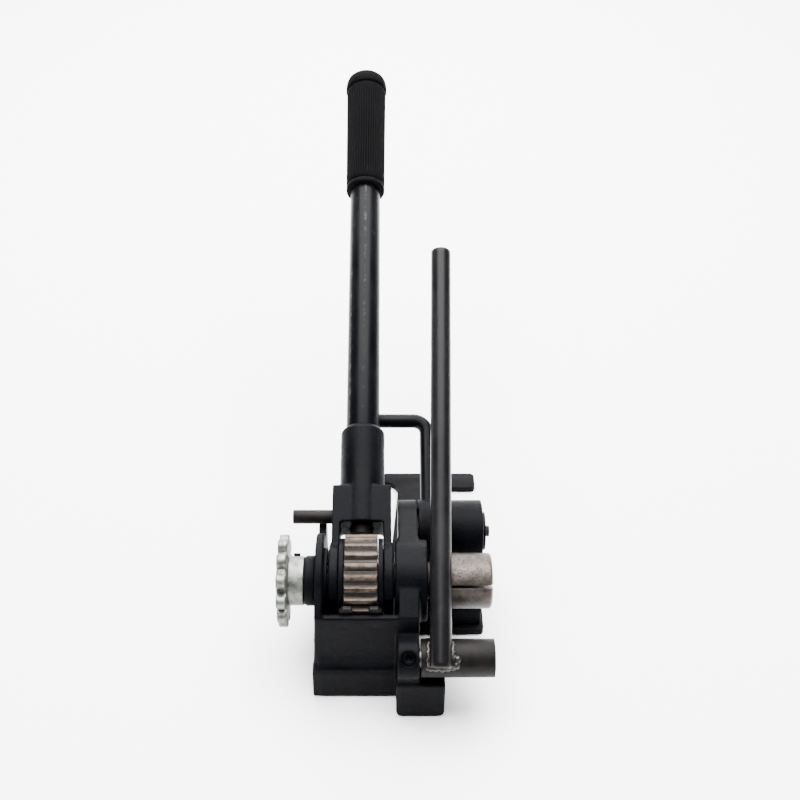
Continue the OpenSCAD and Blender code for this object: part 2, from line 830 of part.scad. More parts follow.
// Bent rod: out of the hub, then across behind the handle
module gripper_lever() {
    end_x = -2;
    color(black)
    translate([bent_x, pivot_y, pivot_z])
        rotate([bent_angle - 90, 0, 0]) {
            translate([0, 0, 20.2])
                cylinder(r = bent_r, h = bent_len - bend_r - 19);
            translate([-bend_r, 0, bent_len - bend_r])
                rotate([90, 0, 0])
                    rotate_extrude(angle = 90)
                        translate([bend_r, 0])
                            circle(r = bent_r + 0.1);
            x_bar(bent_r, end_x - bent_x, -bend_r + 1, 0, bent_len);
        }
}

module gripper_spring() {
    color(steel)
    translate([hub_x0 + 1.6, pivot_y, pivot_z])
        rotate([0, 90, 0])
            coil(14.5, 1.3, 7.6, 3);
}

// ---- Side lever ----

module lever_roller() {
    color([0.20, 0.17, 0.16])
    difference() {
        x_bar(roller_r, roller_x0, roller_x1, roller_y, roller_z);
        x_bar(stud_r + 2.5 + seat, roller_x0 - eps, roller_x1 + eps, roller_y, roller_z);
        x_bar(stud_r + 4.5, roller_x1 - 5 - gap, roller_x1 + eps, roller_y, roller_z);
        along_bar()
            cylinder(r = bar_r, h = bar_len);
    }
}

module roller_bush() {
    color(bronze)
    x_ring(stud_r + 2.5, stud_r + run, roller_x0 + 0.2, roller_x1 - 5 - gap, roller_y, roller_z);
}

// Bar frame: +Z along the lever bar, from its lower end
module along_bar()
    translate([bar_x, roller_y, roller_z])
        rotate([bar_angle - 90, 0, 0])
            translate([0, -bar_lift, -bar_tail])
                rotate([0, bar_lean, 0])
                    children();

module lever_bar() {
    color([0.17, 0.17, 0.18])
    along_bar() {
        cylinder(r = bar_r, h = bar_len - 1.2);
        translate([0, 0, bar_len - 1.2])
            cylinder(r1 = bar_r, r2 = bar_r - 1.2, h = 1.2);
    }
}

module lever_welds() {
    bead = 2.4;
    color([0.33, 0.29, 0.22])
    difference() {
        for (side = [-1, 1])
            translate([bar_x + side * bar_r, roller_y, roller_z])
                rotate([bar_angle - 90, 0, 0])
                    translate([0, -roller_r - 0.4, -7])
                        cylinder(r = bead, h = 14);
        x_bar(roller_r, roller_x0, roller_x1, roller_y, roller_z);
        along_bar()
            cylinder(r = bar_r, h = bar_len);
    }
}

module roller_washer() {
    color(steel)
    x_ring(stud_r + 4, 3 + seat, roller_x1 - 5, roller_x1 - 3.4, roller_y, roller_z);
}

module roller_screw() {
    color(black)
    translate([roller_x1 - 3.4, roller_y, roller_z])
        rotate([0, 90, 0]) {
            socket_disc(5, 3.2, 4);
            translate([0, 0, -12])
                cylinder(r = 3, h = 12.5);
        }
}

base_casting();
rear_plate();
rear_plate_screws();
left_bush();
right_bush();
cheek_washer();
gear_guard();
guard_screws();
pawl_pin();
lever_stud();
stud_set_screw();
gripper_pin();
gripper_washer();
gripper_pin_screw();
windlass_shaft();
ratchet_gear();
gear_key();
star_wheel();
star_set_screw();
shaft_clip();
fork_yoke();
fork_bushes();
fork_washers();
handle_tube();
hand_grip();
tube_pin();
spring_seat();
drive_spring();
drive_pawl();
release_rod();
holding_pawl();
pawl_spring();
gripper_arm();
gripper_bush();
gripper_lever();
jaw_insert();
jaw_screws();
gripper_spring();
lever_roller();
roller_bush();
lever_bar();
lever_welds();
roller_washer();
roller_screw();
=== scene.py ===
import json
import math

import bmesh
import bpy
from mathutils import Matrix, Vector, noise


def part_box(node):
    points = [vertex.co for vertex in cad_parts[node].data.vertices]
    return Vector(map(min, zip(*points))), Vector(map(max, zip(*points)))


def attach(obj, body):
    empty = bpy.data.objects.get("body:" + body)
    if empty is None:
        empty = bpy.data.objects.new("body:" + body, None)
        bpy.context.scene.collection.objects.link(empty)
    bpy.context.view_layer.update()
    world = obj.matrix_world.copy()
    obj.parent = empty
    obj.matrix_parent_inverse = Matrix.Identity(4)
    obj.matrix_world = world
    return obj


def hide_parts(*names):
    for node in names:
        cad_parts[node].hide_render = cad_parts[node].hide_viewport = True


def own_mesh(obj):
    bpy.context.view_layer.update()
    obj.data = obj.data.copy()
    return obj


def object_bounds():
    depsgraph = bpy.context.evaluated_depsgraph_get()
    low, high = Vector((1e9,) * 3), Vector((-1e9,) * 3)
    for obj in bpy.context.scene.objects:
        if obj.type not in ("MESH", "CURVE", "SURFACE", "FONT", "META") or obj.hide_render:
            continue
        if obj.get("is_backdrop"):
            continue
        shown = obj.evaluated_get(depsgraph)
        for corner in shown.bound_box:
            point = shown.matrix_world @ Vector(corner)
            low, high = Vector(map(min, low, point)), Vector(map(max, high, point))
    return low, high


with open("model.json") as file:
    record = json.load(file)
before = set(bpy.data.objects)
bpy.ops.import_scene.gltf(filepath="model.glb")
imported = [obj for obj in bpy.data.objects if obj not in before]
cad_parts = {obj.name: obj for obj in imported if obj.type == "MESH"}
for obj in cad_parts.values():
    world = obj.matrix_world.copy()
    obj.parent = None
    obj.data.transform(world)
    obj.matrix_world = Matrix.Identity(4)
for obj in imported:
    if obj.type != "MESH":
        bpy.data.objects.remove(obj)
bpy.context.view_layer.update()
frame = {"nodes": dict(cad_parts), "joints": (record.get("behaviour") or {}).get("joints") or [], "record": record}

nodes = frame["nodes"]
record = frame["record"]
joints = {joint["name"]: joint for joint in frame["joints"]}
bodyOf = {node: body for body, members in record["behaviour"]["bodies"].items() for node in members}
mm = 0.001


# An output socket that takes part in sums
class Wire:
    def __init__(self, graph, socket):
        self.graph = graph
        self.socket = socket

    def maths(self, operation, first, second=None):
        values = {0: first} if second is None else {0: first, 1: second}
        return self.graph.node("ShaderNodeMath", {"operation": operation}, values)

    def __add__(self, other):
        return self.maths("ADD", self, other)

    def __radd__(self, other):
        return self.maths("ADD", other, self)

    def __sub__(self, other):
        return self.maths("SUBTRACT", self, other)

    def __rsub__(self, other):
        return self.maths("SUBTRACT", other, self)

    def __mul__(self, other):
        return self.maths("MULTIPLY", self, other)

    def __rmul__(self, other):
        return self.maths("MULTIPLY", other, self)

    def __truediv__(self, other):
        return self.maths("DIVIDE", self, other)

    def __rtruediv__(self, other):
        return self.maths("DIVIDE", other, self)

    def __pow__(self, other):
        return self.maths("POWER", self, other)

    def held(self, low=0.0, high=1.0):
        return self.maths("MAXIMUM", self.maths("MINIMUM", self, high), low)

    def ramp(self, low, high):
        # 0 below low, 1 above high, straight between
        return ((self - low) / (high - low)).held()


class Graph:
    def __init__(self, tree):
        self.tree = tree
        self.tree.nodes.clear()

    def raw(self, kind, settings=None, inputs=None):
        made = self.tree.nodes.new(kind)
        for key, value in (settings or {}).items():
            setattr(made, key, value)
        for key, value in (inputs or {}).items():
            if isinstance(value, Wire):
                self.tree.links.new(value.socket, made.inputs[key])
            else:
                made.inputs[key].default_value = value
        return made

    def node(self, kind, settings=None, inputs=None, out=0):
        return Wire(self, self.raw(kind, settings, inputs).outputs[out])


def mixColour(graph, factor, low, high):
    mixer = graph.raw("ShaderNodeMix", {"data_type": "RGBA"}, {0: factor, 6: low, 7: high})
    return Wire(graph, mixer.outputs[2])


def rgba(r, g, b):
    return (r, g, b, 1.0)


# A worn surface on Object coordinates; look holds its colours, gloss and grain
def finish(name, look, extra=None):
    made = bpy.data.materials.new(name)
    made.use_nodes = True
    graph = Graph(made.node_tree)
    place = graph.node("ShaderNodeTexCoord", out=3)
    patches = graph.node("ShaderNodeTexNoise", inputs={0: place, "Scale": look["patch"], "Detail": 5.0,
                                                       "Roughness": 0.62})
    grain = graph.node("ShaderNodeTexNoise", inputs={0: place, "Scale": look["grain"], "Detail": 3.0,
                                                     "Roughness": 0.55})
    specks = graph.node("ShaderNodeTexNoise", inputs={0: place, "Scale": look["patch"] * 6.3, "Detail": 6.0,
                                                      "Roughness": 0.7})
    edges = graph.node("ShaderNodeNewGeometry", out="Pointiness")
    rub = ((edges - 0.5) * look["edge"] + (specks - 0.5) * 1.6).ramp(0.45, 0.8) * look["wear"]
    chips = specks.ramp(look["chip"], look["chip"] + 0.05)
    worn = graph.node("ShaderNodeMath", {"operation": "MAXIMUM"}, {0: rub, 1: chips * look["wear"]})
    colour = mixColour(graph, patches.ramp(0.35, 0.68), look["dark"], look["light"])
    colour = mixColour(graph, worn, colour, look["bare"])
    rough = look["rough"][0] + (look["rough"][1] - look["rough"][0]) * patches.ramp(0.3, 0.7)
    rough = (rough + (grain - 0.5) * 0.14 + worn * look["bareRough"]).held(0.08, 1.0)
    metal = (look["metal"] + worn * (1 - look["metal"])).held()
    height = grain * look["grainHeight"] + patches * look["patchHeight"] - chips * look["chipHeight"]
    parts = {"graph": graph, "place": place, "colour": colour, "rough": rough, "metal": metal,
             "height": height}
    if extra:
        extra(parts)
    bump = graph.node("ShaderNodeBump", inputs={"Strength": look["bump"], "Distance": 0.001,
                                                "Height": parts["height"]})
    shader = graph.raw("ShaderNodeBsdfPrincipled", inputs={
        "Base Color": parts["colour"], "Roughness": parts["rough"],
        "Metallic": parts["metal"], "Normal": bump})
    for socket, value in look.get("set", {}).items():
        shader.inputs[socket].default_value = value
    graph.raw("ShaderNodeOutputMaterial", inputs={0: Wire(graph, shader.outputs[0])})
    return made


def axisDistance(parts, y, z):
    # distance from a line along X through y, z
    graph = parts["graph"]
    split = graph.raw("ShaderNodeSeparateXYZ", inputs={0: parts["place"]})
    away = Wire(graph, split.outputs[1]) - y
    up = Wire(graph, split.outputs[2]) - z
    return (away * away + up * up) ** 0.5


castLook = {
    "dark": rgba(0.0006, 0.0007, 0.0011), "light": rgba(0.0019, 0.0021, 0.003),
    "bare": rgba(0.07, 0.068, 0.064),
    "rough": (0.36, 0.56), "bareRough": -0.08, "metal": 0.0, "patch": 38.0, "grain": 950.0, "edge": 6.0,
    "wear": 0.25, "chip": 0.8, "grainHeight": 0.2, "patchHeight": 0.3, "chipHeight": 0.15, "bump": 0.7,
    "set": {"Specular IOR Level": 0.025}}
paintLook = {
    "dark": rgba(0.0005, 0.0006, 0.001), "light": rgba(0.0014, 0.0016, 0.0024),
    "bare": rgba(0.09, 0.085, 0.08),
    "rough": (0.28, 0.4), "bareRough": 0.05, "metal": 0.0, "patch": 30.0, "grain": 700.0, "edge": 5.0,
    "wear": 0.3, "chip": 0.8, "grainHeight": 0.06, "patchHeight": 0.14, "chipHeight": 0.1, "bump": 0.5,
    "set": {"Specular IOR Level": 0.045}}
rubberLook = {
    "dark": rgba(0.0006, 0.0006, 0.0008), "light": rgba(0.0018, 0.0018, 0.0022),
    "bare": rgba(0.014, 0.014, 0.014),
    "rough": (0.6, 0.78), "bareRough": 0.05, "metal": 0.0, "patch": 45.0, "grain": 1300.0, "edge": 3.0,
    "wear": 0.4, "chip": 0.8, "grainHeight": 0.08, "patchHeight": 0.1, "chipHeight": 0.02, "bump": 0.6,
    "set": {"Specular IOR Level": 0.015}}
barLook = {
    "dark": rgba(0.003, 0.0027, 0.0031), "light": rgba(0.006, 0.0056, 0.0064),
    "bare": rgba(0.12, 0.11, 0.1),
    "rough": (0.3, 0.42), "bareRough": -0.06, "metal": 0.2, "patch": 22.0, "grain": 620.0, "edge": 4.0,
    "wear": 0.3, "chip": 0.775, "grainHeight": 0.08, "patchHeight": 0.15, "chipHeight": 0.12, "bump": 0.5,
    "set": {"Specular IOR Level": 0.09}}
scaleLook = {
    "dark": rgba(0.0022, 0.0018, 0.0018), "light": rgba(0.006, 0.0046, 0.0044),
    "bare": rgba(0.07, 0.035, 0.028),
    "rough": (0.45, 0.62), "bareRough": 0.0, "metal": 0.12, "patch": 60.0, "grain": 800.0, "edge": 4.0,
    "wear": 0.4, "chip": 0.76, "grainHeight": 0.12, "patchHeight": 0.3, "chipHeight": 0.1, "bump": 0.6,
    "set": {"Specular IOR Level": 0.08}}
wornLook = {
    "dark": rgba(0.026, 0.021, 0.018), "light": rgba(0.065, 0.056, 0.05),
    "bare": rgba(0.13, 0.12, 0.11),
    "rough": (0.34, 0.5), "bareRough": -0.08, "metal": 0.85, "patch": 120.0, "grain": 900.0, "edge": 6.0,
    "wear": 0.6, "chip": 0.7, "grainHeight": 0.22, "patchHeight": 0.16, "chipHeight": 0.05, "bump": 0.8}
gearLook = {
    "dark": rgba(0.011, 0.007, 0.0045), "light": rgba(0.062, 0.044, 0.032),
    "bare": rgba(0.15, 0.125, 0.105),
    "rough": (0.36, 0.55), "bareRough": -0.1, "metal": 0.7, "patch": 170.0, "grain": 900.0, "edge": 3.0,
    "wear": 0.5, "chip": 0.7, "grainHeight": 0.2, "patchHeight": 0.35, "chipHeight": 0.15, "bump": 0.9}
zincLook = {
    "dark": rgba(0.06, 0.058, 0.042), "light": rgba(0.2, 0.218, 0.206),
    "bare": rgba(0.04, 0.028, 0.016),
    "rough": (0.34, 0.52), "bareRough": 0.15, "metal": 0.75, "patch": 150.0, "grain": 700.0, "edge": -3.0,
    "wear": 0.9, "chip": 0.64, "grainHeight": 0.16, "patchHeight": 0.45, "chipHeight": 0.25, "bump": 0.8}
brightLook = {
    "dark": rgba(0.12, 0.115, 0.11), "light": rgba(0.26, 0.25, 0.24),
    "bare": rgba(0.08, 0.06, 0.045),
    "rough": (0.3, 0.45), "bareRough": 0.15, "metal": 0.95, "patch": 90.0, "grain": 800.0, "edge": 2.0,
    "wear": 0.5, "chip": 0.72, "grainHeight": 0.06, "patchHeight": 0.08, "chipHeight": 0.04, "bump": 0.5}
bronzeLook = {
    "dark": rgba(0.12, 0.08, 0.04), "light": rgba(0.28, 0.2, 0.1),
    "bare": rgba(0.08, 0.05, 0.03),
    "rough": (0.4, 0.55), "bareRough": 0.1, "metal": 0.9, "patch": 110.0, "grain": 900.0, "edge": 2.0,
    "wear": 0.4, "chip": 0.74, "grainHeight": 0.08, "patchHeight": 0.08, "chipHeight": 0.04, "bump": 0.5}
weldLook = {
    "dark": rgba(0.012, 0.011, 0.0105), "light": rgba(0.05, 0.045, 0.038),
    "bare": rgba(0.3, 0.25, 0.15),
    "rough": (0.28, 0.45), "bareRough": -0.1, "metal": 0.7, "patch": 200.0, "grain": 900.0, "edge": 3.0,
    "wear": 0.5, "chip": 0.66, "grainHeight": 0.2, "patchHeight": 0.3, "chipHeight": 0.0, "bump": 0.7}

shaftY, shaftZ = joints["windlass_spin"]["pos_m"][1:]


def gearExtra(parts):
    # darker, rougher and less metallic down the flanks and between the teeth; the tips keep the worn finish
    gearTip = (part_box("ratchet_gear")[1].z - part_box("ratchet_gear")[0].z) / 2
    depth = axisDistance(parts, shaftY, shaftZ).ramp(gearTip - 2.8 * mm, gearTip - 0.6 * mm)
    graph = parts["graph"]
    parts["colour"] = mixColour(graph, depth, rgba(0.012, 0.008, 0.006), parts["colour"])
    parts["rough"] = (parts["rough"] + (1 - depth) * 0.25).held(0.1, 0.9)
    parts["metal"] = (parts["metal"] * (0.45 + depth * 0.55)).held()


def turned(y, z, pitch, share):
    # faint rings left by turning, and pits with dark bottoms
    def add(parts):
        graph = parts["graph"]
        pits = graph.node("ShaderNodeTexNoise", inputs={
            0: parts["place"], "Scale": 850.0, "Detail": 3.0, "Roughness": 0.7}).ramp(0.56, 0.64)
        parts["colour"] = mixColour(graph, pits * 0.8, parts["colour"], rgba(0.012, 0.009, 0.008))
        parts["height"] = parts["height"] - pits * 0.15
        rings = graph.node("ShaderNodeTexNoise", {"noise_dimensions": "1D"}, {
            "W": axisDistance(parts, y, z) / pitch, "Scale": 1.0, "Detail": 2.0})
        parts["height"] = parts["height"] + rings * share
    return add


castIron = finish("coatedCastIron", castLook)
blackPaint = finish("blackPaint", paintLook)
gripRubber = finish("gripRubber", rubberLook)
barSteel = finish("darkBarSteel", barLook)
millScale = finish("millScaleSteel", scaleLook)
wornSteel = finish("wornShaftSteel", wornLook, turned(shaftY, shaftZ, 0.4 * mm, 0.05))
gearSteel = finish("wornGearSteel", gearLook, gearExtra)
zinc = finish("zincPlate", zincLook)
brightSteel = finish("brightSteel", brightLook)
bronze = finish("sinteredBronze", bronzeLook)
weldMetal = finish("weldMetal", weldLook)
print("materials done")


def newObject(name, mesh):
    made = bpy.data.objects.new(name, mesh)
    bpy.context.scene.collection.objects.link(made)
    return made


def applied(made):
    # the evaluated mesh, with its modifiers used up
    graph = bpy.context.evaluated_depsgraph_get()
    mesh = bpy.data.meshes.new_from_object(made.evaluated_get(graph))
    made.modifiers.clear()
    made.data = mesh
    return made


def smooth(made, sharpDegrees=38):
    for polygon in made.data.polygons:
        polygon.use_smooth = True
    made.data.set_sharp_from_angle(angle=math.radians(sharpDegrees))


def publish(made, material, *replaced):
    # the body comes from the CAD node that the piece stands for, the material is passed in
    made.data.materials.clear()
    made.data.materials.append(material)
    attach(made, bodyOf[replaced[0]])
    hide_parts(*replaced)
    return made


def mergedCopy(node, name):
    mesh = nodes[node].data.copy()
    mesh.materials.clear()
    shape = bmesh.new()
    shape.from_mesh(mesh)
    bmesh.ops.remove_doubles(shape, verts=shape.verts, dist=0.002 * mm)
    bmesh.ops.dissolve_limit(shape, angle_limit=math.radians(0.6), verts=shape.verts, edges=shape.edges)
    shape.to_mesh(mesh)
    shape.free()
    return newObject(name, mesh)


def softened(node, name, width, material):
    # a CAD shape with its edges broken
    made = mergedCopy(node, name)
    bevel = made.modifiers.new("edges", "BEVEL")
    bevel.limit_method = "ANGLE"
    bevel.angle_limit = math.radians(32)
    bevel.width = width
    bevel.segments = 2
    applied(made)
    smooth(made)
    return publish(made, material, node)


def roughened(made, look, low, high):
    # the skin waves along its own normals, inside the box
    vertices = made.data.vertices
    places = [vertex.co.copy() for vertex in vertices]
    outward = [vertex.normal.copy() for vertex in vertices]
    moved = []
    for place, normal in zip(places, outward):
        swell = noise.noise(place * 90) * look["wave"] + noise.noise(place * 420) * look["pebble"]
        place = place + normal * (swell - look["wave"])
        moved.extend(min(max(place[axis], low[axis]), high[axis]) for axis in range(3))
    vertices.foreach_set("co", moved)
    made.data.update()


def cast(node, name, look, material, filler=None):
    # rounded edges and uneven skin; a filler node closes holes under the paint
    made = mergedCopy(node, name)
    if filler:
        shape = bmesh.new()
        shape.from_mesh(made.data)
        shape.from_mesh(nodes[filler].data)
        shape.to_mesh(made.data)
        shape.free()
    remesh = made.modifiers.new("skin", "REMESH")
    remesh.mode = "VOXEL"
    remesh.voxel_size = look["voxel"]
    soften = made.modifiers.new("soften", "SMOOTH")
    soften.factor = 0.5
    soften.iterations = look["rounds"]
    applied(made)
    low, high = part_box(node)
    roughened(made, look, low, high)
    smooth(made, 60)
    return publish(made, material, node)


castPieces = {
    "voxel": 1.05 * mm,     # size of the skin's facets
    "rounds": 5,            # how far the edges are rounded
    "wave": 0.10 * mm,      # slow unevenness of the skin
    "pebble": 0.07 * mm,    # fine unevenness
}
cast("base_casting", "baseCasting", castPieces, castIron, "guard_screws")
cast("fork_yoke", "forkYoke", dict(castPieces, voxel=0.95 * mm), castIron)
cast("gripper_arm", "gripperArm", dict(castPieces, voxel=0.95 * mm), castIron)
print("castings done")

# node: name of the piece, width of its broken edges in mm, material
plainParts = {
    "rear_plate": ("rearPlate", 0.9, castIron), "rear_plate_screws": ("rearPlateScrews", 0.15, millScale),
    "left_bush": ("leftBush", 0.6, castIron), "right_bush": ("rightBush", 0.4, bronze),
    "cheek_washer": ("cheekWasher", 0.3, castIron), "gear_guard": ("gearGuard", 0.5, millScale),
    "guard_screws": ("guardScrews", 0.2, blackPaint), "pawl_pin": ("pawlPin", 0.5, brightSteel),
    "lever_stud": ("leverStud", 0.5, brightSteel), "stud_set_screw": ("studSetScrew", 0.25, blackPaint),
    "gripper_pin": ("gripperPin", 0.5, brightSteel), "gripper_washer": ("gripperWasher", 0.4, blackPaint),
    "gripper_pin_screw": ("gripperPinScrew", 0.35, millScale),
    "windlass_shaft": ("windlassShaft", 0.45, wornSteel), "gear_key": ("gearKey", 0.2, brightSteel),
    "star_set_screw": ("starSetScrew", 0.25, blackPaint), "shaft_clip": ("shaftClip", 0.15, brightSteel),
    "fork_bushes": ("forkBushes", 0.3, bronze), "fork_washers": ("forkWashers", 0.3, castIron),
    "handle_tube": ("handleTube", 0.3, blackPaint), "tube_pin": ("tubePin", 0.2, blackPaint),
    "spring_seat": ("springSeat", 0.3, brightSteel), "drive_pawl": ("drivePawl", 0.5, millScale),
    "release_rod": ("releaseRod", 0.5, millScale), "holding_pawl": ("holdingPawl", 0.6, wornSteel),
    "gripper_bush": ("gripperBush", 0.3, bronze), "jaw_insert": ("jawInsert", 0.12, wornSteel),
    "jaw_screws": ("jawScrews", 0.3, blackPaint), "lever_roller": ("leverRoller", 0.6, millScale),
    "roller_bush": ("rollerBush", 0.2, bronze), "roller_washer": ("rollerWasher", 0.25, brightSteel),
    "roller_screw": ("rollerScrew", 0.25, blackPaint)}
for node, (name, width, material) in plainParts.items():
    softened(node, name, width * mm, material)
print("plain parts done")


def ringTree():
    # copies a wedge round X until the ring is closed, and joins the seams
    tree = bpy.data.node_groups.new("ring", "GeometryNodeTree")
    face = tree.interface
    face.new_socket("Geometry", in_out="INPUT", socket_type="NodeSocketGeometry")
    face.new_socket("Count", in_out="INPUT", socket_type="NodeSocketInt")
    face.new_socket("Seam", in_out="INPUT", socket_type="NodeSocketFloat")
    face.new_socket("Material", in_out="INPUT", socket_type="NodeSocketMaterial")
    face.new_socket("Geometry", in_out="OUTPUT", socket_type="NodeSocketGeometry")
    graph = Graph(tree)
    given = graph.raw("NodeGroupInput")
    wedge, count, seam, material = [Wire(graph, given.outputs[key])
                                    for key in ("Geometry", "Count", "Seam", "Material")]
    turn = graph.node("GeometryNodeInputIndex") * (math.tau / count)
    turned = graph.node("ShaderNodeCombineXYZ", inputs={0: turn})
    points = graph.node("GeometryNodePoints", inputs={"Count": count})
    copies = graph.node("GeometryNodeInstanceOnPoints", inputs={"Points": points, "Instance": wedge,
                                                                "Rotation": turned})
    solid = graph.node("GeometryNodeRealizeInstances", inputs={0: copies})
    joined = graph.node("GeometryNodeMergeByDistance", inputs={"Geometry": solid, "Distance": seam})
    painted = graph.node("GeometryNodeSetMaterial", inputs={"Geometry": joined, "Material": material})
    graph.raw("NodeGroupOutput", inputs={0: painted})
    return tree


ringNodes = ringTree()


def ring(name, stations, shares, count, material, place, closed=True):
    # equal wedges; a station is a place along the axis and a radius for each share of the wedge
    step = math.tau / count
    verts = []
    for along, radius in stations:
        for share in shares:
            reach = radius(share) if callable(radius) else radius
            verts.append((along, reach * math.cos(share * step), reach * math.sin(share * step)))
    width = len(shares)
    rows = len(stations) if closed else len(stations) - 1
    faces = []
    for row in range(rows):
        after = (row + 1) % len(stations)
        for column in range(width - 1):
            faces.append((row * width + column, row * width + column + 1,
                          after * width + column + 1, after * width + column))
    mesh = bpy.data.meshes.new(name)
    mesh.from_pydata(verts, [], faces)
    made = newObject(name, mesh)
    copier = made.modifiers.new("ring", "NODES")
    copier.node_group = ringNodes
    values = {"Count": count, "Seam": 0.01 * mm, "Material": material}
    for item in ringNodes.interface.items_tree:
        if item.in_out == "INPUT" and item.name in values:
            copier[item.identifier] = values[item.name]
    applied(made)
    made.data.transform(place)
    shape = bmesh.new()
    shape.from_mesh(made.data)
    bmesh.ops.dissolve_degenerate(shape, edges=shape.edges, dist=0.005 * mm)
    bmesh.ops.recalc_face_normals(shape, faces=shape.faces)
    shape.to_mesh(made.data)
    shape.free()
    return made


def alongX(origin, direction, turn=0.0):
    # turns +X to a direction, after a turn about X
    swing = Vector((1, 0, 0)).rotation_difference(Vector(direction)).to_matrix().to_4x4()
    return Matrix.Translation(origin) @ swing @ Matrix.Rotation(turn, 4, "X")


shaftAxis = Vector((0, shaftY, shaftZ))
handleWay = Vector(joints["drive_pawl_slide"]["axis"]).normalized()
handleTilt = math.atan2(handleWay.z, handleWay.y)


def span(node, origin, direction):
    # lowest and highest reach of a node along a direction, and its widest radius from that line
    reach = [(vertex.co - origin).dot(direction) for vertex in nodes[node].data.vertices]
    away = [((vertex.co - origin) - direction * (vertex.co - origin).dot(direction)).length
            for vertex in nodes[node].data.vertices]
    return min(reach), max(reach), max(away)


gear = {
    "teeth": 24,
    "depth": 3.2 * mm,       # of a tooth
    "bore": 13.02 * mm,
    "face": 19 * mm,         # an extra loop round the bore
    "corner": 0.5 * mm,      # worn off the ends of the teeth
    "wave": 0.09 * mm,
    "pebble": 0.09 * mm,
}


def ratchetGear():
    low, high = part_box("ratchet_gear")
    tip = (high.z - low.z) / 2
    root = tip - gear["depth"]
    # radius at each share of a tooth's pitch, from valley to valley
    outline = {0.0: root + 0.2 * mm, 0.1: root, 0.17: root + 0.5 * mm,
               0.3: tip - 0.5 * mm, 0.35: tip - 0.12 * mm, 0.42: tip, 0.5: tip, 0.58: tip,
               0.65: tip - 0.12 * mm, 0.7: tip - 0.5 * mm,
               0.83: root + 0.5 * mm, 0.9: root, 1.0: root + 0.2 * mm}

    def edge(inset):
        return lambda share: outline[share] - inset * (0.4 + 0.6 * (outline[share] > root + 1 * mm))

    half = (high.x - low.x) / 2
    middle = (high.x + low.x) / 2
    corner = gear["corner"]
    inner = [middle + half * (step / 7 - 1) for step in range(2, 13)]
    stations = [(low.x, gear["bore"]), (low.x, gear["face"]), (low.x, root - 2 * mm),
                (low.x, edge(2 * corner)), (low.x + corner * 0.4, edge(corner)),
                (low.x + corner * 1.4, edge(0))]
    stations += [(x, edge(0)) for x in inner]
    stations += [(high.x - corner * 1.4, edge(0)), (high.x - corner * 0.4, edge(corner)),
                 (high.x, edge(2 * corner)), (high.x, root - 2 * mm), (high.x, gear["face"]),
                 (high.x, gear["bore"])]
    turn = handleTilt - math.pi / gear["teeth"]
    made = ring("ratchetGear", stations, sorted(outline), gear["teeth"], gearSteel,
                Matrix.Translation(shaftAxis) @ Matrix.Rotation(turn, 4, "X"))
    roughened(made, gear, low, high)
    smooth(made, 30)
    publish(made, gearSteel, "ratchet_gear")


star = {
    "lobes": 12,
    "lobeRadius": 5.6 * mm,
    "bore": 10.02 * mm,
    "face": 16 * mm,         # an extra loop round the bore
    "hub": 18.7 * mm,
    "thick": 7.5 * mm,
    "edge": 1.1 * mm,
    "wave": 0.12 * mm,
    "pebble": 0.08 * mm,
}


def starWheel():
    low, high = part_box("star_wheel")
    reach = span("star_wheel", shaftAxis, Vector((1, 0, 0)))[2]
    centre = reach - star["lobeRadius"]
    valley = reach - star["lobeRadius"] * 1.2

    def lobes(inset):
        def radius(share):
            swing = (share - 0.5) * math.tau / star["lobes"]
            inside = star["lobeRadius"] ** 2 - (centre * math.sin(swing)) ** 2
            lobe = centre * math.cos(swing) + math.sqrt(inside) if inside > 0 else 0.0
            return max(lobe, valley) - inset
        return radius

    edge = star["edge"]
    back = low.x + star["thick"]
    stations = [(low.x, star["bore"]), (low.x, star["face"]), (low.x, lobes(2.2 * edge)),
                (low.x, lobes(edge)), (low.x + edge * 0.35, lobes(edge * 0.35)),
                (low.x + edge, lobes(0)), (low.x + 2.6 * edge, lobes(0)),
                (back - 2.6 * edge, lobes(0)), (back - edge, lobes(0)),
                (back - edge * 0.35, lobes(edge * 0.35)), (back, lobes(edge)),
                (back, lobes(2.2 * edge)), (back, star["hub"] + 1.2 * mm),
                (back + 0.4 * mm, star["hub"] + 0.4 * mm), (back + 1.2 * mm, star["hub"])]
    stations += [(back + (high.x - back) * part, star["hub"]) for part in (0.3, 0.5, 0.7, 0.85)]
    stations += [(high.x - 0.6 * mm, star["hub"]), (high.x - 0.15 * mm, star["hub"] - 0.2 * mm),
                 (high.x, star["hub"] - 0.7 * mm), (high.x, star["bore"])]
    made = ring("starWheel", stations, [step / 16 for step in range(17)], star["lobes"], zinc,
                Matrix.Translation(shaftAxis))
    roughened(made, star, low, high)
    smooth(made, 40)
    publish(made, zinc, "star_wheel")


grip = {
    "ribs": 46,
    "ribDepth": 0.75 * mm,
    "bore": 13.52 * mm,       # where the tube enters
    "rim": 6 * mm,            # smooth rim at the lower end
    "bead": 18 * mm,          # length of the smooth end
    "swell": 1.1 * mm,        # how much thicker the upper end is
}


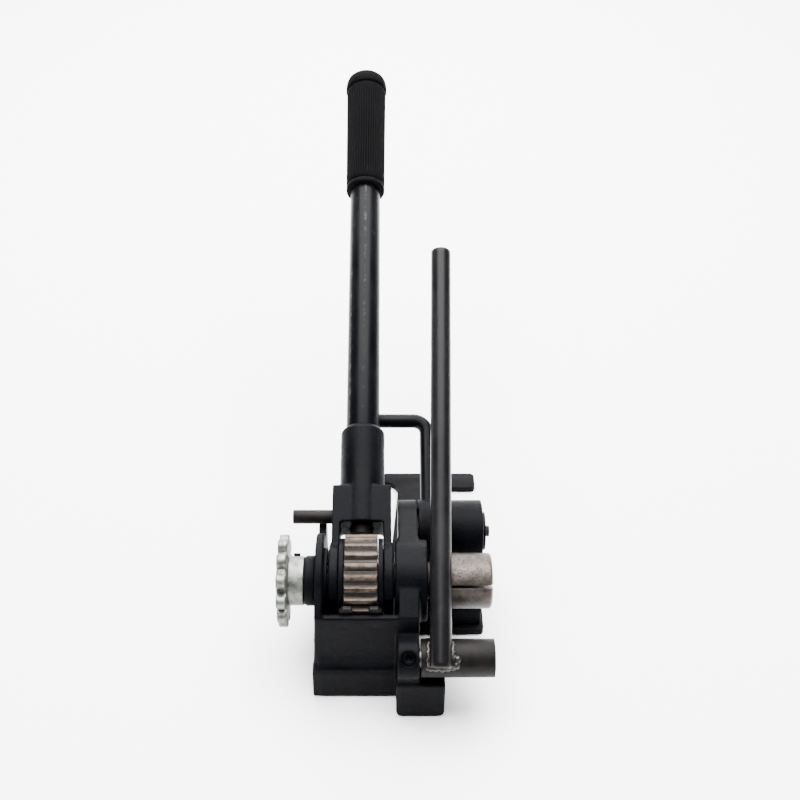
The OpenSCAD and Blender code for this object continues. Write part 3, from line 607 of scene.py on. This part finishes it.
def handGrip():
    start, end, widest = span("hand_grip", shaftAxis, handleWay)
    thick = widest - 2 * mm
    ribsFrom = start + grip["rim"]
    ribsTo = end - grip["bead"] - 2 * mm

    def ribbed(base, share, strength):
        crest = abs(math.sin(math.pi * share)) ** 0.7
        return base - grip["ribDepth"] * (1 - crest) * strength

    stations = [(start, grip["bore"]), (start, thick - 0.9 * mm), (start + 0.5 * mm, thick - 0.2 * mm),
                (start + 1.2 * mm, thick), (ribsFrom - 1.2 * mm, thick),
                (ribsFrom - 0.6 * mm, thick - 0.9 * mm), (ribsFrom, thick - 1.0 * mm)]
    rows = 26
    for row in range(rows + 1):
        part = row / rows
        base = thick + grip["swell"] * part
        strength = min(1.0, part * 30 + 0.1, (1 - part) * 30 + 0.1)
        stations.append((ribsFrom + 0.8 * mm + (ribsTo - ribsFrom - 0.8 * mm) * part,
                         lambda share, base=base, strength=strength: ribbed(base, share, strength)))
    # the domed end, in mm back from the tip and in from the widest radius
    bulge = [(-17.6, -1.6), (-17.0, -0.3), (-16, 0), (-11.5, 0), (-7.5, -0.5), (-4.5, -1.6),
             (-2.2, -3.6), (-0.8, -6.2), (-0.1, -9.5)]
    stations += [(end + along * mm, widest + inset * mm) for along, inset in bulge]
    stations.append((end, 0.0))
    made = ring("handGrip", stations, [step / 6 for step in range(7)], grip["ribs"], gripRubber,
                alongX(shaftAxis, handleWay), closed=False)
    smooth(made, 60)
    publish(made, gripRubber, "hand_grip")


ratchetGear()
starWheel()
handGrip()
print("gear, star wheel and grip done")


def rodAxis(node):
    # foot of a straight round bar's axis, its direction, length and radius
    places = [vertex.co for vertex in nodes[node].data.vertices]
    low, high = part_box(node)
    side = max(range(3), key=lambda axis: high[axis] - low[axis])
    middle = (low[side] + high[side]) / 2
    ends = []
    for chosen in ([p for p in places if p[side] < middle], [p for p in places if p[side] >= middle]):
        distinct = {tuple(round(value, 7) for value in p) for p in chosen}
        ends.append(sum((Vector(p) for p in distinct), Vector()) / len(distinct))
    way = (ends[1] - ends[0]).normalized()
    first, last, radius = span(node, ends[0], way)
    return ends[0] + way * first, way, last - first, radius


bar = {
    "rows": 120,
    "sides": 44,
    "chamfer": 1.3 * mm,
    "ringAt": 0.205,          # place of the tool mark, as a share of the length
    "ringDepth": 0.35 * mm,
    "wave": 0.10 * mm,
    "dent": 0.5 * mm,
}


def leverBar():
    foot, way, length, radius = rodAxis("lever_bar")
    stations = [(0.0, 0.0), (0.0, radius * 0.6), (0.0, radius - bar["chamfer"]),
                (bar["chamfer"] * 0.5, radius - bar["chamfer"] * 0.35)]
    for row in range(bar["rows"] + 1):
        part = row / bar["rows"]
        mark = math.exp(-((part - bar["ringAt"]) * length / (0.9 * mm)) ** 2) * bar["ringDepth"]
        stations.append((bar["chamfer"] + (length - 2 * bar["chamfer"]) * part, radius - mark))
    stations += [(length - bar["chamfer"] * 0.5, radius - bar["chamfer"] * 0.35),
                 (length, radius - bar["chamfer"]), (length, radius * 0.6), (length, 0.0)]
    made = ring("leverBar", stations, [0.0, 1.0], bar["sides"], barSteel,
                alongX(foot, way), closed=False)
    moved = []
    for vertex in made.data.vertices:
        along = (vertex.co - foot).dot(way)
        centre = foot + way * along
        out = vertex.co - centre
        # hammer marks near the foot, slow waves elsewhere
        fade = math.exp(-max(0.0, along - 55 * mm) / (25 * mm))
        hit = max(0.0, noise.noise(vertex.co * 95) - 0.25) * fade
        ease = 1 - (hit * bar["dent"] + abs(noise.noise(vertex.co * 35)) * bar["wave"]) / radius
        moved.extend(centre + out * ease)
    made.data.vertices.foreach_set("co", moved)
    made.data.update()
    smooth(made, 50)
    publish(made, barSteel, "lever_bar")


weld = {
    "voxel": 0.45 * mm,
    "wave": 0.35 * mm,
    "pebble": 0.2 * mm,
}


def leverWelds():
    # beads down both sides of the bar where it meets the roller, with a lump on the right
    foot, way, _, radius = rodAxis("lever_bar")
    roller = Vector(joints["side_lever_swing"]["pos_m"])
    low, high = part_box("lever_roller")
    rollerRadius = (high.z - low.z) / 2
    reach = (roller - foot).dot(way)
    crown = foot + way * reach
    crown.x = (low.x + high.x) / 2
    toRoller = Vector((0, roller.y - crown.y, roller.z - crown.z)).normalized()
    touch = foot + way * reach + toRoller * (radius - 1 * mm)
    # each bead: place along the bar, to its side and towards the roller, and size
    beads = []
    for step in range(-5, 6):
        along = step * 1.7 * mm
        drop = rollerRadius - math.sqrt(rollerRadius ** 2 - along ** 2)
        wobble = 0.5 * mm * math.sin(step * 2.1)
        beads.append((along, -(radius + 0.6 * mm + wobble), drop - 0.4 * mm, 2.3 * mm))
        beads.append((along, radius + 0.8 * mm + wobble, drop - 0.2 * mm, 2.5 * mm))
    beads += [(-7 * mm, radius + 3.4 * mm, 0.8 * mm, 3.4 * mm),
              (-3 * mm, radius + 4.2 * mm, 0.2 * mm, 3.6 * mm),
              (-9.5 * mm, -3 * mm, 2.2 * mm, 2.6 * mm), (-9.5 * mm, 1.5 * mm, 2.2 * mm, 2.8 * mm),
              (-9.2 * mm, -7 * mm, 2.4 * mm, 2.4 * mm), (-9.2 * mm, 5.5 * mm, 2.2 * mm, 2.6 * mm)]
    shape = bmesh.new()
    for along, side, down, size in beads:
        place = touch + way * along + Vector((side, 0, 0)) + toRoller * down
        bmesh.ops.create_icosphere(shape, subdivisions=2, radius=size, matrix=Matrix.Translation(place))
    mesh = bpy.data.meshes.new("leverWelds")
    shape.to_mesh(mesh)
    shape.free()
    made = newObject("leverWelds", mesh)
    remesh = made.modifiers.new("skin", "REMESH")
    remesh.mode = "VOXEL"
    remesh.voxel_size = weld["voxel"]
    applied(made)
    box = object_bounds()
    roughened(made, weld, box[0], box[1])
    smooth(made, 60)
    publish(made, weldMetal, "lever_welds")


def sweep(name, points, radius, sides):
    # a round rod or wire along points, as a closed mesh
    path = bpy.data.curves.new(name, "CURVE")
    path.dimensions = "3D"
    path.bevel_depth = radius
    path.bevel_resolution = sides
    path.use_fill_caps = True
    line = path.splines.new("POLY")
    line.points.add(len(points) - 1)
    for target, point in zip(line.points, points):
        target.co = (*point, 1.0)
    drawn = newObject(name + "Path", path)
    graph = bpy.context.evaluated_depsgraph_get()
    mesh = bpy.data.meshes.new_from_object(drawn.evaluated_get(graph))
    bpy.data.objects.remove(drawn)
    shape = bmesh.new()
    shape.from_mesh(mesh)
    bmesh.ops.remove_doubles(shape, verts=shape.verts, dist=0.001 * mm)
    bmesh.ops.recalc_face_normals(shape, faces=shape.faces)
    shape.to_mesh(mesh)
    shape.free()
    made = newObject(name, mesh)
    smooth(made, 50)
    return made


bentRod = {
    "radius": 5.85 * mm,
    "bend": 11 * mm,          # of the rod's middle line
    "start": 20.5 * mm,       # from the gripper's pivot
}


def gripperLever():
    low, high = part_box("gripper_lever")
    pivot = Vector(joints["gripper_lift"]["pos_m"])
    inset = bentRod["radius"] + 0.15 * mm
    corner = Vector((high.x - inset, high.y - inset, high.z - inset))
    out = Vector((0, corner.y - pivot.y, corner.z - pivot.z))
    reach = out.length
    out.normalize()
    start = Vector((corner.x, pivot.y, pivot.z)) + out * bentRod["start"]
    bend = bentRod["bend"]
    centre = Vector((corner.x, pivot.y, pivot.z)) + out * (reach - bend) - Vector((bend, 0, 0))
    points = [start + (centre + Vector((bend, 0, 0)) - start) * (step / 8) for step in range(8)]
    points += [centre + Vector((bend * math.cos(a), 0, 0)) + out * (bend * math.sin(a))
               for a in [math.radians(step * 6) for step in range(16)]]
    last = points[-1]
    end = Vector((low.x + 0.2 * mm, last.y, last.z))
    points += [last + (end - last) * (step / 6) for step in range(1, 7)]
    publish(sweep("gripperLever", points, bentRod["radius"], 8), blackPaint, "gripper_lever")


springs = {
    # name of the piece, radius of the coil's middle line and of the wire in mm, turns
    "drive_spring": ("driveSpring", 6.0, 0.95, 7),
    "pawl_spring": ("pawlSpring", 5.6, 0.7, 4),
    "gripper_spring": ("gripperSpring", 14.5, 1.25, 3),
}


def springCoil(node, name, radius, wire, turns):
    # the axis is the handle's for the drive spring and lies along X for the other two
    if node == "drive_spring":
        origin, way = shaftAxis, handleWay
    else:
        joint = joints["gripper_lift" if node == "gripper_spring" else "holding_pawl_rock"]["pos_m"]
        origin = Vector((0, joint[1], joint[2]))
        way = Vector((1, 0, 0))
    first, last, _ = span(node, origin, way)
    frameOf = alongX(origin, way)
    length = last - first - 2 * wire
    steps = 20 * turns
    points = []
    for step in range(steps + 1):
        a = math.tau * turns * step / steps
        points.append(frameOf @ Vector((first + wire + length * step / steps, radius * math.cos(a),
                                        radius * math.sin(a))))
    made = publish(sweep(name, points, wire, 3), brightSteel, node)
    if node == "drive_spring":
        # the drive spring gets a mesh of its own; the plunger's stroke is read but not used
        stroke = joints["drive_pawl_slide"]["range_m"][1]
        tuple(origin + way * last)
        1 - stroke / (last - first)
        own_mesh(made)


leverBar()
leverWelds()
gripperLever()
for node, (name, radius, wire, turns) in springs.items():
    springCoil(node, name, radius * mm, wire * mm, turns)
print("rods, welds and springs done")

studio = {
    "floorSize": 9.0,            # metres across
    "wallBehind": 2.6,           # distance of the backdrop
    "sky": 0.25,                 # strength of the light from all round
    "floorTone": 0.93,
    # name: place, aim, size and power of a lamp
    "lamps": {
        "overhead": ((0.0, 0.5, 2.2), (0.0, 0.2, 0.0), (2.6, 2.0), 460),
        "behind": ((0.0, 2.1, 1.5), (0.0, 0.2, 0.1), (2.6, 1.4), 150),
        "frontTop": ((-0.2, -0.9, 2.0), (0.0, 0.1, 0.05), (1.0, 0.5), 22),
    },
}
view = {
    "place": (18 * mm, -587.2 * mm, 689.9 * mm),
    "tilt": 53,                  # degrees up from straight down
    "lens": 49.5,
    "shift": 0.01875,
}


def backdrop():
    half = studio["floorSize"] / 2
    back = studio["wallBehind"]
    bend = 0.8
    outline = [(-half, 0.0), (back - bend, 0.0)]
    outline += [(back - bend + bend * math.sin(a), bend - bend * math.cos(a))
                for a in [math.radians(step * 9) for step in range(1, 11)]]
    outline.append((back, 4.0))
    verts = [(x, y, z) for y, z in outline for x in (-half, half)]
    faces = [(2 * i, 2 * i + 1, 2 * i + 3, 2 * i + 2) for i in range(len(outline) - 1)]
    mesh = bpy.data.meshes.new("backdrop")
    mesh.from_pydata(verts, [], faces)
    made = newObject("backdrop", mesh)
    for polygon in mesh.polygons:
        polygon.use_smooth = True
    paper = bpy.data.materials.new("paper")
    paper.use_nodes = True
    shader = paper.node_tree.nodes["Principled BSDF"]
    tone = studio["floorTone"]
    shader.inputs["Base Color"].default_value = (tone, tone, tone, 1)
    shader.inputs["Roughness"].default_value = 0.85
    mesh.materials.append(paper)
    made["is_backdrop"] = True


def softbox(name, place, aim, size, power):
    light = bpy.data.lights.new(name, "AREA")
    light.shape = "RECTANGLE"
    light.size, light.size_y = size
    light.energy = power
    made = bpy.data.objects.new(name, light)
    bpy.context.scene.collection.objects.link(made)
    made.location = place
    made.rotation_euler = (Vector(aim) - Vector(place)).to_track_quat("-Z", "Y").to_euler()


backdrop()
for name, (place, aim, size, power) in studio["lamps"].items():
    softbox(name, place, aim, size, power)
world = bpy.data.worlds.new("studio")
world.use_nodes = True
world.node_tree.nodes["Background"].inputs[0].default_value = (1, 1, 1, 1)
world.node_tree.nodes["Background"].inputs[1].default_value = studio["sky"]
bpy.context.scene.world = world

lens = bpy.data.cameras.new("camera")
lens.lens = view["lens"]
lens.sensor_width = 36
lens.shift_x = view["shift"]
camera = bpy.data.objects.new("camera", lens)
bpy.context.scene.collection.objects.link(camera)
camera.location = view["place"]
camera.rotation_euler = (math.radians(view["tilt"]), 0, 0)
bpy.context.scene.camera = camera
print("studio done")
